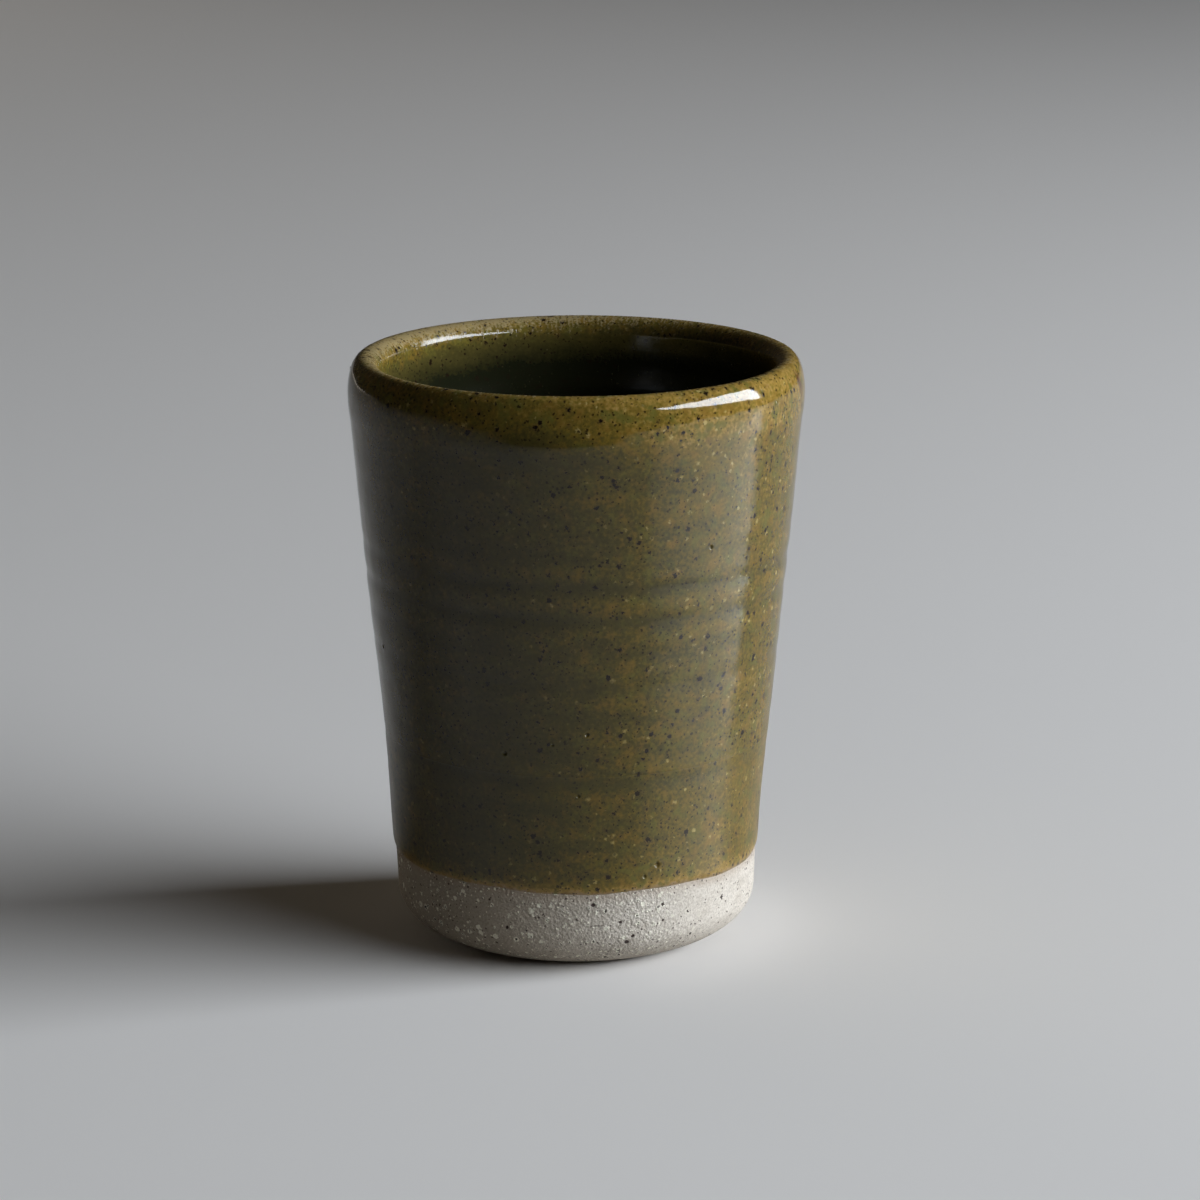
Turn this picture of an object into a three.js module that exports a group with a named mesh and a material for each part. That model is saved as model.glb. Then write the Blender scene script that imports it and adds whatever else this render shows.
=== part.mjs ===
// A hand-thrown stoneware beer cup: a flared beaker with a thick round lip and a bare clay foot.
// The clay is one thrown piece. Three coats of glaze lie on it: the liner that was poured inside,
// the coat that the outside was dipped in, and the double coat over the lip where those two meet.
// Millimetres, +Z up. The origin is the centre of the ring that the cup stands on.
import * as THREE from "three";

// Outside of the cup
const HEIGHT = 110; // table to the glazed crest of the lip
const LIP_RADIUS = 42.3; // glazed, at the shoulder of the lip, where the cup is widest
const LIP_SWELL = 0.1; // how far that shoulder stands out past the top of the wall
const FOOT_RADIUS = 33.7; // bare clay, at the top of the rounded lower edge
const FOOT_RISE = 9; // height of the rounded lower edge
const FOOT_TUCK = 13.5; // how far that edge tucks in under the cup
const BARE_WALL = 7.9; // bare clay between the rounded edge and the glaze line
const WALL_HOLLOW = 0.5; // how far the wall falls inside a straight flare
const WALL_SWAY = 0.34; // how far it also swings in below its middle and out above it

// Thickness of the clay
const LIP_CLAY = 4.8; // across the lip, under its glaze
const FOOT_CLAY = 6; // of the wall where it meets the floor
const FLOOR_CLAY = 7; // from the table to the inside of the floor

// Lip, as two quarter ellipses that meet at the crest
const LIP_CREST = 2.1; // from the outside of the clay in to the crest
const LIP_FALL_OUTSIDE = 6.5; // drop from the crest to the outer shoulder
const LIP_FALL_INSIDE = 4; // drop from the crest to the inner shoulder

// Inside and underside
const INSIDE_ROUND = 11; // corner between wall and floor
const STAND_WIDTH = 5; // flat ring that meets the table
const HOLLOW_DEPTH = 1; // turned hollow inside that ring
const HOLLOW_BEVEL = 1.5; // slope between the ring and the hollow

// Glaze
const OUTER_COAT = 0.4;
const LINER_COAT = 0.4;
const LIP_COAT = 0.6; // both coats overlap here
const COAT_EDGE = 0.2; // the dipped coat thins to this at the glaze line
const FLOOR_POOL = 1; // the liner runs down and lies thicker on the floor
const OVERLAP_OUTSIDE = 3.5; // reach of the double coat below the outer shoulder
const OVERLAP_INSIDE = 4; // and below the inner shoulder

// Fineness of the facets
const SEGMENTS = 48; // around the cup
const ROUND_STEPS = 6; // along each rounded stretch
const FOOT_STEPS = 2; // up the bare wall
const WALL_STEPS = 12; // up the dipped wall
const LIP_STEPS = 1; // between a shoulder and the edge of the double coat
const LINER_STEPS = 5; // down the inner wall

// Heights and radii that follow from the sizes above
const glazeLine = FOOT_RISE + BARE_WALL;
const clayCrest = HEIGHT - LIP_COAT;
const outerShoulder = HEIGHT - LIP_FALL_OUTSIDE;
const innerShoulder = HEIGHT - LIP_FALL_INSIDE;
const outerOverlap = outerShoulder - OVERLAP_OUTSIDE;
const innerOverlap = innerShoulder - OVERLAP_INSIDE;
const lipOutside = LIP_RADIUS - LIP_COAT;
const lipInside = lipOutside - LIP_CLAY;
const lipCrest = lipOutside - LIP_CREST;
const standRadius = FOOT_RADIUS - FOOT_TUCK;
const hollowRadius = standRadius - STAND_WIDTH;
const floorCorner = FOOT_RADIUS - FOOT_CLAY;
const floorRadius = floorCorner - INSIDE_ROUND;
const cornerTop = FLOOR_CLAY + INSIDE_ROUND;

// Radius of the clay's outer wall: a flare that is hollow by a parabola and sways by one sine wave,
// which is steep at the foot and at the top.
function outerWall(height) {
  const rise = (height - FOOT_RISE) / (outerOverlap - FOOT_RISE);
  const flare = THREE.MathUtils.lerp(FOOT_RADIUS, lipOutside - LIP_SWELL, rise);
  const hollow = WALL_HOLLOW * 4 * rise * (1 - rise);
  return flare - hollow - WALL_SWAY * Math.sin(2 * Math.PI * rise);
}

// Radius of the outside between the wall and the lip's shoulder: straight.
function lipWall(height) {
  return THREE.MathUtils.mapLinear(height, outerOverlap, outerShoulder, lipOutside - LIP_SWELL, lipOutside);
}

// Radius of the clay's inner wall: straight from the lip down towards the corner of the floor.
function innerWall(height) {
  return THREE.MathUtils.mapLinear(height, FLOOR_CLAY, innerShoulder, floorCorner, lipInside);
}

// Points of a wall between two heights. The last one is left to the next stretch.
function wallStretch(radiusAt, from, to, steps) {
  return Array.from({ length: steps }, (_, i) => {
    const height = THREE.MathUtils.lerp(from, to, i / steps);
    return new THREE.Vector2(radiusAt(height), height);
  });
}

// Points of a curve. The last one is left to the next stretch.
function curveStretch(curve) {
  return curve.getPoints(ROUND_STEPS).slice(0, -1);
}

// Quarter ellipse of the lip from its crest to one of its shoulders, between two angles.
function lipQuarter(shoulder, width, from, to) {
  return curveStretch(
    new THREE.EllipseCurve(lipCrest, shoulder, width, clayCrest - shoulder, from, to),
  );
}

const underside = [
  new THREE.Vector2(0, HOLLOW_DEPTH),
  new THREE.Vector2(hollowRadius - HOLLOW_BEVEL, HOLLOW_DEPTH),
  new THREE.Vector2(hollowRadius, 0),
];
const lowerEdge = curveStretch(
  new THREE.EllipseCurve(standRadius, FOOT_RISE, FOOT_TUCK, FOOT_RISE, -Math.PI / 2, 0),
);
const bareWall = wallStretch(outerWall, FOOT_RISE, glazeLine, FOOT_STEPS);
const dippedWall = wallStretch(outerWall, glazeLine, outerOverlap, WALL_STEPS);
const lip = [
  ...wallStretch(lipWall, outerOverlap, outerShoulder, LIP_STEPS),
  ...lipQuarter(outerShoulder, LIP_CREST, 0, Math.PI / 2),
  ...lipQuarter(innerShoulder, LIP_CLAY - LIP_CREST, Math.PI / 2, Math.PI),
  ...wallStretch(innerWall, innerShoulder, innerOverlap, LIP_STEPS),
];
const lined = [
  ...wallStretch(innerWall, innerOverlap, cornerTop, LINER_STEPS),
  ...curveStretch(
    new THREE.QuadraticBezierCurve(
      new THREE.Vector2(innerWall(cornerTop), cornerTop),
      new THREE.Vector2(floorCorner, FLOOR_CLAY),
      new THREE.Vector2(floorRadius, FLOOR_CLAY),
    ),
  ),
  new THREE.Vector2(floorRadius, FLOOR_CLAY),
  new THREE.Vector2(0, FLOOR_CLAY),
];

// The clay's whole outline: from the axis under the foot, up and over the lip, to the axis on the floor.
const outline = [...underside, ...lowerEdge, ...bareWall, ...dippedWall, ...lip, ...lined];
const dippedFrom = underside.length + lowerEdge.length + bareWall.length;
const lipFrom = dippedFrom + dippedWall.length;
const linedFrom = lipFrom + lip.length;
const floorCentre = outline.length - 1;

// Direction out of the clay at a point of the outline, square to the line between its neighbours.
function outward(index) {
  if (index === floorCentre) return new THREE.Vector2(0, 1);
  const along = outline[index + 1].clone().sub(outline[index - 1]).normalize();
  return new THREE.Vector2(along.y, -along.x);
}

// Closed outline of a coat that lies on the clay between two points, with its own thickness at each.
function coatOutline(from, to, thicknessAt) {
  const seat = outline.slice(from, to + 1);
  const surface = seat.map((point, i) =>
    point.clone().addScaledVector(outward(from + i), thicknessAt(point)),
  );
  return [...surface, ...seat.reverse(), surface[0]];
}

const dippedCoat = coatOutline(dippedFrom, lipFrom, (point) =>
  point.y === glazeLine ? COAT_EDGE : OUTER_COAT,
);
const lipCoat = coatOutline(lipFrom, linedFrom, () => LIP_COAT);
const linerCoat = coatOutline(linedFrom, floorCentre, (point) => {
  const sunk = THREE.MathUtils.smoothstep(cornerTop - point.y, 0, INSIDE_ROUND);
  return THREE.MathUtils.lerp(LINER_COAT, FLOOR_POOL, sunk);
});

// A solid turned about the cup's axis.
function turned(name, points, color, roughness) {
  const geometry = new THREE.LatheGeometry(points, SEGMENTS).rotateX(Math.PI / 2);
  const material = new THREE.MeshStandardMaterial({ color, roughness, metalness: 0 });
  const mesh = new THREE.Mesh(geometry, material);
  mesh.name = name;
  return mesh;
}

const cup = new THREE.Group();
cup.add(
  turned("clay_body", outline, "#cdc6bb", 0.9),
  turned("outer_glaze", dippedCoat, "#74673a", 0.18),
  turned("lip_glaze", lipCoat, "#8a743a", 0.14),
  turned("liner_glaze", linerCoat, "#5f5a2e", 0.16),
);

export default cup;
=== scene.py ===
"""A hand-thrown stoneware beer cup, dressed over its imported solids.

The cup is one outline turned about +Z. Every surface is that outline moved along its own outward
direction by a lift: the relief that the thrower's hands left, and the thickness of the glaze.
An angle on the cup is 0 at the front, towards -Y, and grows towards +X.
"""
import math

import bpy
import numpy as np
from bpy.props import FloatProperty, FloatVectorProperty, PointerProperty
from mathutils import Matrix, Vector


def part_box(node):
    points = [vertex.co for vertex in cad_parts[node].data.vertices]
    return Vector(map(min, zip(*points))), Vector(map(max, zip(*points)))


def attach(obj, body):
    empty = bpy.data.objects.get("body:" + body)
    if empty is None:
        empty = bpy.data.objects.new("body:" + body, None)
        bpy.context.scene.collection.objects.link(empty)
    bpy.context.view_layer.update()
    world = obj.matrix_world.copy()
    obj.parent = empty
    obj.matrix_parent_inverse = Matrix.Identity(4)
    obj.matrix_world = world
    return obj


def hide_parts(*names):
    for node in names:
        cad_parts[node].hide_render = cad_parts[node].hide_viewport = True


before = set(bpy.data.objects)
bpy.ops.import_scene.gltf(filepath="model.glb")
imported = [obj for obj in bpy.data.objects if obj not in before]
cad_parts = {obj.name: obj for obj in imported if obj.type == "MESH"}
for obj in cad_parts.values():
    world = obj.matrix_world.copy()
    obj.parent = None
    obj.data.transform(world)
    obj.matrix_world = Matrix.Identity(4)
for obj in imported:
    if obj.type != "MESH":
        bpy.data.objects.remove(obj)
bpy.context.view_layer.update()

bl_info = {
    "name": "Stoneware Beer Cup",
    "version": (1, 0, 0),
    "blender": (4, 5, 0),
    "location": "3D View > Sidebar > Beer Cup",
    "description": "A hand-thrown beaker with an olive glaze and a bare clay foot",
    "category": "Add Mesh",
}

MM = 0.001
MICRON = 0.000001
TURN = 2 * math.pi
BODY = "root"

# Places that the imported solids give
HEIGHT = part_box("lip_glaze")[1].z
LIP_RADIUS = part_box("lip_glaze")[1].x
CLAY_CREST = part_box("clay_body")[1].z
OUTER_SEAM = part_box("outer_glaze")[1].z
INNER_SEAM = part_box("liner_glaze")[1].z
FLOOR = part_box("liner_glaze")[0].z

# The clay under the glaze, and the seat of each coat, lie this much below the outline with its relief
SEAT_DEPTH = 0.2 * MM

# Turning marks under the foot, pits at the large iron specks, and how far the glaze stains the clay below it
TURNING_PITCH = 1.6 * MM
TURNING_DEPTH = 0.06 * MM
PIT_DEPTH = 0.08 * MM
FLASH_REACH = 1.3 * MM

# Pinholes in the outer glaze: angle in degrees, height and radius in millimetres
PINHOLES = (
    (-20.8, 43.15, 0.34),
    (-6.7, 45.45, 0.24),
    (3.0, 47.45, 0.34),
    (0.6, 35.55, 0.30),
    (25.3, 21.25, 0.42),
    (21.2, 19.25, 0.30),
    (36.6, 81.05, 0.34),
    (118.0, 57.65, 0.32),
    (163.0, 35.55, 0.36),
    (207.0, 81.05, 0.28),
    (251.0, 21.25, 0.34),
    (290.0, 57.65, 0.30),
)

# Bubbles in the glaze on the outside of the lip: angle in degrees, height and radius in millimetres
BUBBLES = (
    (58.6, 104.9, 0.34),
    (75.2, 108.1, 0.26),
    (72.6, 106.5, 0.28),
    (191.0, 105.6, 0.30),
    (268.0, 107.2, 0.28),
)

# Large iron specks in the bare clay: angle in degrees, height and radius in millimetres
CLAY_SPECKS = (
    (16.2, 6.6, 0.52),
    (18.0, 7.8, 0.40),
    (5.2, 14.3, 0.48),
    (13.8, 10.7, 0.36),
    (28.2, 10.1, 0.30),
    (-22.0, 9.2, 0.40),
    (73.4, 8.8, 0.26),
    (42.6, 2.4, 0.34),
    (104.0, 12.4, 0.44),
    (151.0, 7.1, 0.50),
    (188.0, 11.0, 0.38),
    (232.0, 6.4, 0.46),
    (281.0, 13.2, 0.42),
)

# A hairline in the bare clay: angle in degrees, height, length and width in millimetres
HAIRLINE = (6.4, 10.2, 3.4, 0.10)

# A streak of rust on the lip: angle in degrees, height, length and width in millimetres, and its lean
RUST = (76.0, 106.3, 1.9, 1.0, 1.1)

# The dry band on the lip and the narrow one on its crest: millimetres past the crest, and reach
DRY_BAND, DRY_CREST = (0.9, 2.5), (0.3, 0.8)

# A patch of ripples below the lip at the front: height, and reach down and around in millimetres
RIPPLES = (97.7, 1.7, 3.2)

# Slow unevenness of the wall: waves around, wavelength up in millimetres, phase, depth in millimetres
DENTS = (
    (1, 46.0, 5.2, 0.06),
    (2, 95.0, 0.4, 0.10),
    (3, 61.0, 2.1, 0.06),
    (5, 37.0, 4.0, 0.03),
)

# Throwing grooves, as shares of the deepest: a base, and bells with a height and a reach in millimetres
RING_BASE = 0.13
STRONG_RINGS = (71.6, 6.5)
FAINT_RINGS = ((0.35, (55.6, 4)), (0.4, (37.6, 4)))

# Angle that turns the oval of the lip, in radians
OVAL_TURN = 1.1

# The roll of the lip: its side in degrees, and the bells out and in, each as a middle and a reach
ROLL_SIDE, ROLL_OUT, ROLL_IN = (-4, 19), (100.3, 2.5), (105.7, 2.4)

# Waves of the outer glaze's lower edge: height in millimetres, waves around and phase of each sine
EDGE_WAVES = ((-0.20, 1, 0.0), (-0.20, 6, math.pi / 2), (0.07, 17, 1 + math.pi / 2))

# Angles of painted shade, where the glaze is darkened on the sides that the light misses, outside and
# inside, and where the lip is driest, and the first one's lean
OUTER_SHADE_SIDE = math.radians(-30)
INNER_SHADE_SIDE = math.radians(150)
DRY_SIDE = math.radians(-130)
OUTER_SHADE_LEAN = math.radians(30)

# Painted dark reflection below the lip at the front, darker glaze where the wall mirrors no bright floor:
# its side in degrees and its height, each as a middle and a reach
DARK_REFLECTION_SIDE, DARK_REFLECTION_HEIGHT = (-9, 18), (101.5, 4)

# What the painted shade outside and inside, the painted dark reflection below the lip and the throwing
# grooves add to the glaze's depth of colour
OUTER_SHADE, INNER_SHADE, LIP_DARK_REFLECTION = 0.24, 0.24, 0.15
OUTER_GROOVE, INNER_GROOVE = 0.12, 0.1

# Scattered specks: cells in a metre, share of the cells filled, size in cells, raggedness in metres
PALE_FLECKS = (620.0, 0.62, 0.18, 0.0009)
FINE_IRON = (1400.0, 0.95, 0.40, 0.0006)
LARGE_GRAINS = (640.0, 0.85, 0.46, 0.0006)
SMALL_GRAINS = (1400.0, 0.90, 0.40, 0.0004)
COARSE_ORE = (640.0, 0.55, 0.30, 0.0012)
FINE_ORE = (1300.0, 0.75, 0.34, 0.0006)

# Roughness and refraction of the glaze where it is glossiest
GLOSS = 0.07
GLAZE_IOR = 1.44


def number(name, description, value, **kind):
    """A number that a user may change."""
    return FloatProperty(name=name, description=description, default=value, **kind)


def length(name, description, millimetres):
    """A size that a user may change, given here in millimetres."""
    return number(name, description, millimetres * MM, unit="LENGTH", precision=5)


def power(name, description, watts):
    """The strength of a lamp that a user may change."""
    return number(name, description, watts, min=0, unit="POWER")


def location(name, description, metres):
    """A place in the studio that a user may change."""
    return FloatVectorProperty(name=name, description=description, default=metres, subtype="TRANSLATION")


def colour(name, description, rgb):
    """A colour that a user may change, in linear light."""
    return FloatVectorProperty(
        name=name, description=description, default=rgb, subtype="COLOR", size=3, min=0, max=1
    )


class CupSizes(bpy.types.PropertyGroup):
    """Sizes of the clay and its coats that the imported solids' boxes don't give"""

    foot_radius: length("Foot radius", "Bare clay at the top of the rounded lower edge", 33.7)
    foot_rise: length("Foot rise", "Height of the rounded lower edge", 9.0)
    foot_tuck: length("Foot tuck", "How far the lower edge tucks in under the cup", 13.5)
    stand_width: length("Standing ring", "Width of the flat ring that meets the table", 5.0)
    hollow_depth: length("Hollow depth", "Depth of the turned hollow under the foot", 1.0)
    hollow_bevel: length("Hollow bevel", "Width of the slope at the hollow's edge", 1.5)
    wall_hollow: length("Wall hollow", "How far the wall falls inside a straight flare", 0.5)
    wall_sway: length("Wall sway", "How far it swings in below its middle and out above it", 0.34)
    lip_swell: length("Lip swell", "How far the lip stands out past the top of the wall", 0.1)
    lip_clay: length("Lip clay", "Clay across the lip, under its glaze", 4.8)
    lip_crest: length("Lip crest", "From the outside of the clay in to the crest", 2.1)
    lip_coat: length("Lip coat", "Thickness of the double coat on the lip", 0.6)
    lip_fall_outside: length("Outer fall", "Drop from the crest to the outer shoulder", 6.5)
    lip_fall_inside: length("Inner fall", "Drop from the crest to the inner shoulder", 3.0)
    foot_clay: length("Foot clay", "Wall thickness where it meets the floor", 6.0)
    inside_round: length("Inside rounding", "Corner between the inner wall and the floor", 11.0)
    wall_coat: length("Wall coat", "Thickness of the single coats", 0.4)
    floor_pool: length("Floor pool", "Thickness of the glaze that ran down to the floor", 1.0)
    glaze_line: length("Glaze line", "Height where the bare foot ends", 16.5)
    edge_run: length("Edge run", "How fast the coat thickens above the glaze line", 0.55)
    ring_pitch: length("Ring pitch", "Rise of the throwing spiral in one turn", 6.2)
    ring_place: length("Ring place", "Height of one groove of that spiral at the front", 68.75)
    ring_depth: length("Ring depth", "Depth of the deepest throwing groove", 0.14)
    inner_pitch: length("Inner ring pitch", "Rise of the spiral inside in one turn", 7.4)
    inner_depth: length("Inner ring depth", "Depth of the spiral inside", 0.22)
    lip_roll: length("Lip roll", "How much fuller the lip is at the front", 0.42)
    oval: length("Oval", "How far the lip is out of round", 0.18)
    lip_tilt: length("Lip tilt", "How much higher the lip is on the right than in the middle", 0.22)


class CupColours(bpy.types.PropertyGroup):
    """Colours of the glaze and the clay"""

    fringe: colour("Fringe", "Thinnest glaze, along the glaze line", (0.35, 0.24, 0.125))
    straw: colour("Straw", "Dry glaze, on the crest of the lip", (0.34, 0.265, 0.13))
    amber: colour("Amber", "Thin glaze, on the lip and on ridges", (0.33, 0.207, 0.047))
    olive: colour("Olive", "Glaze of the usual thickness", (0.158, 0.108, 0.017))
    moss: colour("Moss", "Thick glaze, in the throwing grooves", (0.074, 0.059, 0.015))
    # Nearly black, mostly painted shade: the glaze inside below the lip, where little light falls
    pool: colour("Pool", "Thickest glaze, inside below the lip", (0.011, 0.012, 0.005))
    ember: colour("Ember", "Redder clouds in the glaze", (0.205, 0.118, 0.021))
    leaf: colour("Leaf", "Greener clouds in the glaze", (0.118, 0.112, 0.022))
    fleck: colour("Fleck", "Pale flecks that show through the glaze", (0.42, 0.32, 0.11))
    stain: colour("Stain", "Glaze stained around an iron speck", (0.085, 0.048, 0.022))
    iron: colour("Iron", "Iron specks in the glaze", (0.014, 0.008, 0.004))
    rust: colour("Rust", "Iron that has run on the lip", (0.075, 0.018, 0.010))
    clay: colour("Clay", "Bare fired stoneware", (0.69, 0.63, 0.545))
    # Painted shade: a darker, browner clay laid over the left side, away from the light
    clay_left_shade: colour("Browned clay", "Clay on the side that the fire browned", (0.50, 0.43, 0.335))
    clay_shade: colour("Clay shade", "Darker clay between the grains", (0.36, 0.30, 0.235))
    grog: colour("Grog", "Pale grains in the bare clay", (0.96, 0.92, 0.76))
    ore: colour("Ore", "Iron specks in the bare clay", (0.038, 0.020, 0.019))
    flash: colour("Flash", "Clay stained by the glaze above it", (0.36, 0.26, 0.18))


class StudioSettings(bpy.types.PropertyGroup):
    """Floor, light and camera"""

    floor: colour("Floor", "Pale floor", (0.89, 0.86, 0.82))
    floor_bounce: colour("Floor bounce", "Light that the floor throws back", (0.46, 0.43, 0.39))
    sky: colour("Sky", "Faint warm light from all around", (1.0, 0.86, 0.68))
    sky_strength: number("Sky strength", "Brightness of the light from all around", 0.022, min=0)
    key: colour("Key", "Cool light from the right", (0.86, 0.92, 1.0))
    key_power: power("Key power", "Watts of the soft light on the right", 140)
    key_taper: number("Key taper", "Share of its height cut away below, at its front", 0.85)
    key_place: location("Key place", "Middle of that light", (1.8, -0.86, 0.65))
    key_width: length("Key width", "How long that light is along the floor", 2680.0)
    key_rise: length("Key rise", "How high that light is from its lower to its upper edge", 900.0)
    fill: colour("Fill", "Warm light from behind on the left", (1.0, 0.93, 0.84))
    fill_power: power("Fill power", "Watts of the faint light behind", 5)
    fill_place: location("Fill place", "Middle of that light", (-1.25, 1.7, 0.2))
    fill_width: length("Fill width", "How wide that light is", 900.0)
    fill_rise: length("Fill rise", "How high that light is from its lower to its upper edge", 320.0)
    top: colour("Top", "Light that falls into the cup from above", (1.0, 0.95, 0.88))
    top_power: power("Top power", "Watts of the light above", 45)
    top_height: length("Top height", "Height of that light", 1200.0)
    top_beam: length("Top beam", "Radius of its beam at the lip", 31.0)
    camera_distance: length("Camera distance", "From the cup's axis, along the floor", 800.0)
    camera_height: length("Camera height", "Above the floor", 264.05)
    camera_pitch: number("Camera pitch", "Tilt below level", 0.246, subtype="ANGLE")
    camera_lens: number("Camera lens", "Focal length in millimetres", 132.3, min=1)
    camera_shift: number("Camera shift", "Share of the frame that the cup stands off its middle", 0.0199)


def smoothstep(x):
    """From 0 to 1 as x goes from 0 to 1, level at both ends."""
    x = np.clip(x, 0, 1)
    return x * x * (3 - 2 * x)


def ramp(value, start, end):
    """From 0 to 1 as a length goes from start to end, which are in millimetres, level at both ends."""
    return smoothstep((value / MM - start) / (end - start))


def bell(x):
    """A bell curve of height 1 that falls to a third at x = 1."""
    return np.exp(-x * x)


def bell_at(value, place):
    """A bell along a length. The place is its middle and its reach, in millimetres."""
    middle, reach = place
    return bell((value / MM - middle) / reach)


def side_bell(angle, side):
    """A bell around the cup. The side is its middle and its reach, in degrees."""
    middle, reach = side
    return bell((np.degrees(angle_from_front(angle)) - middle) / reach)


def lobe(angle, sharpness):
    """From 1 at an angle of 0 to 0 half a turn away: a raised cosine, to a power."""
    return ((1 + np.cos(angle)) / 2) ** sharpness


def angle_from_front(angle):
    """An angle between minus and plus half a turn."""
    return (angle + math.pi) % TURN - math.pi


class Outline:
    """The clay's outline, from the axis under the foot, up and over the lip, to the axis on the floor.

    It is held as points an even step apart, and read at any distance along it.
    """

    STEP = 0.1 * MM
    SOFTEN = 2.0 * MM
    STRETCH_POINTS = 400

    def __init__(self, sizes):
        self.sizes = sizes
        radius, height = self.stretches(sizes)
        run = np.concatenate(([0], np.cumsum(np.hypot(np.diff(radius), np.diff(height)))))
        along = np.linspace(0, run[-1], int(run[-1] / self.STEP))
        radius = self.softened(np.interp(along, run, radius), odd=True)
        height = self.softened(np.interp(along, run, height), odd=False)
        step_out, step_up = np.gradient(radius), np.gradient(height)
        size = np.hypot(step_out, step_up)
        self.along, self.radius, self.height = along, radius, height
        self.out, self.up = step_up / size, -step_out / size
        self.stand = int(np.argmax(radius > sizes.foot_radius - sizes.foot_tuck))
        self.crest = int(np.argmax(height))
        self.top, self.end = along[self.crest], along[-1]

    @classmethod
    def stretches(cls, sizes):
        """Radii and heights of the stretches, one after the other.

        Under the foot a hollow with a soft edge, then a quarter ellipse, the flared wall, which is hollow
        by a parabola and sways by a sine, two quarter ellipses over the lip, a straight inner wall,
        a parabola and the floor.
        """
        stand = sizes.foot_radius - sizes.foot_tuck
        hollow = stand - sizes.stand_width
        lip_outside = LIP_RADIUS - sizes.lip_coat
        lip_middle = lip_outside - sizes.lip_crest
        lip_inside = lip_outside - sizes.lip_clay
        wall_top = lip_outside - sizes.lip_swell
        outer_shoulder = HEIGHT - sizes.lip_fall_outside
        inner_shoulder = HEIGHT - sizes.lip_fall_inside
        floor_corner = sizes.foot_radius - sizes.foot_clay
        floor_radius = floor_corner - sizes.inside_round
        corner_top = FLOOR + sizes.inside_round

        t = np.linspace(0, 1, cls.STRETCH_POINTS)
        across, upward = np.sin(t * math.pi / 2), np.cos(t * math.pi / 2)
        under = stand * t
        under_height = sizes.hollow_depth * smoothstep((hollow - under) / sizes.hollow_bevel)
        wall = sizes.foot_radius + (wall_top - sizes.foot_radius) * t
        wall = wall - sizes.wall_hollow * 4 * t * (1 - t) - sizes.wall_sway * np.sin(TURN * t)
        inner_slope = (lip_inside - floor_corner) / (inner_shoulder - FLOOR)
        corner_radius = floor_corner + inner_slope * (corner_top - FLOOR)
        pieces = (
            (under, under_height),
            (stand + sizes.foot_tuck * across, sizes.foot_rise * (1 - upward)),
            (wall, sizes.foot_rise + (OUTER_SEAM - sizes.foot_rise) * t),
            (wall_top + sizes.lip_swell * t, OUTER_SEAM + (outer_shoulder - OUTER_SEAM) * t),
            (
                lip_middle + sizes.lip_crest * upward,
                outer_shoulder + (CLAY_CREST - outer_shoulder) * across,
            ),
            (
                lip_middle - (sizes.lip_clay - sizes.lip_crest) * across,
                inner_shoulder + (CLAY_CREST - inner_shoulder) * upward,
            ),
            (
                lip_inside + (corner_radius - lip_inside) * t,
                inner_shoulder + (corner_top - inner_shoulder) * t,
            ),
            (
                (1 - t) ** 2 * corner_radius + 2 * t * (1 - t) * floor_corner + t**2 * floor_radius,
                FLOOR + (1 - t) ** 2 * (corner_top - FLOOR),
            ),
            (floor_radius * (1 - t), np.full_like(t, FLOOR)),
        )
        return (np.concatenate(parts) for parts in zip(*pieces))

    def softened(self, values, odd):
        """A moving average that rounds the joins of stretches. Past the axis the outline is mirrored."""
        half = int(self.SOFTEN / self.STEP / 2)
        weights = np.hanning(2 * half + 3)[1:-1]
        before, after = values[half:0:-1], values[-2 : -half - 2 : -1]
        if odd:
            before, after = -before, -after
        longer = np.concatenate((before, values, after))
        return np.convolve(longer, weights / weights.sum(), "valid")

    def at(self, along):
        """Radius, height and the two parts of the outward direction at distances along the outline."""
        read = (self.radius, self.height, self.out, self.up)
        return (np.interp(along, self.along, values) for values in read)

    def outside(self, height):
        """Distance along the outline to a height on the foot's edge, the outer wall or the lip's outside."""
        rising = slice(self.stand, self.crest)
        return np.interp(height, self.height[rising], self.along[rising])

    def inside(self, height):
        """Distance along the outline to a height on the inner wall."""
        falling = slice(self.crest, None)
        return np.interp(height, self.height[falling][::-1], self.along[falling][::-1])


class Grid:
    """Rows along the outline and columns around the cup, with what the outline gives at each row."""

    def __init__(self, outline, along, angle):
        self.outline, self.sizes = outline, outline.sizes
        self.along, self.angle = along[:, None], angle[None, :]
        self.radius, self.height, self.out, self.up = outline.at(self.along)
        self.past = self.along - outline.top
        self.outer, self.inner = self.past < 0, self.past > 0


def ring_strength(height):
    """How deep the throwing grooves are at a height, as a share of the deepest: bells on a low base."""
    faint = sum(share * bell_at(height, place) for share, place in FAINT_RINGS)
    return RING_BASE + np.maximum(bell_at(height, STRONG_RINGS), faint)


def spiral(along, angle, pitch, sharpness):
    """A groove from 0 to 1 that winds round the cup, one pitch down in each turn: a raised cosine."""
    return lobe(TURN * along / pitch + angle, sharpness)


def outer_share(grid):
    """1 on the outer wall, fading to 0 at the foot and below the lip."""
    return ramp(grid.height, 8, 20) * ramp(grid.height, 102, 92) * grid.outer


def inner_share(grid):
    """1 on the inner wall and the floor, fading to 0 below the lip and at the axis."""
    return ramp(grid.height, 104, 92) * ramp(grid.radius, 0, 6) * grid.inner


def dents(grid):
    """Slow unevenness of the wall: a sum of waves around the cup and up it."""
    total = 0
    for waves, wavelength, phase, depth in DENTS:
        rise = TURN * grid.height / (wavelength * MM)
        total = total + depth * MM * np.cos(waves * grid.angle + rise + phase)
    return total


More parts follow.
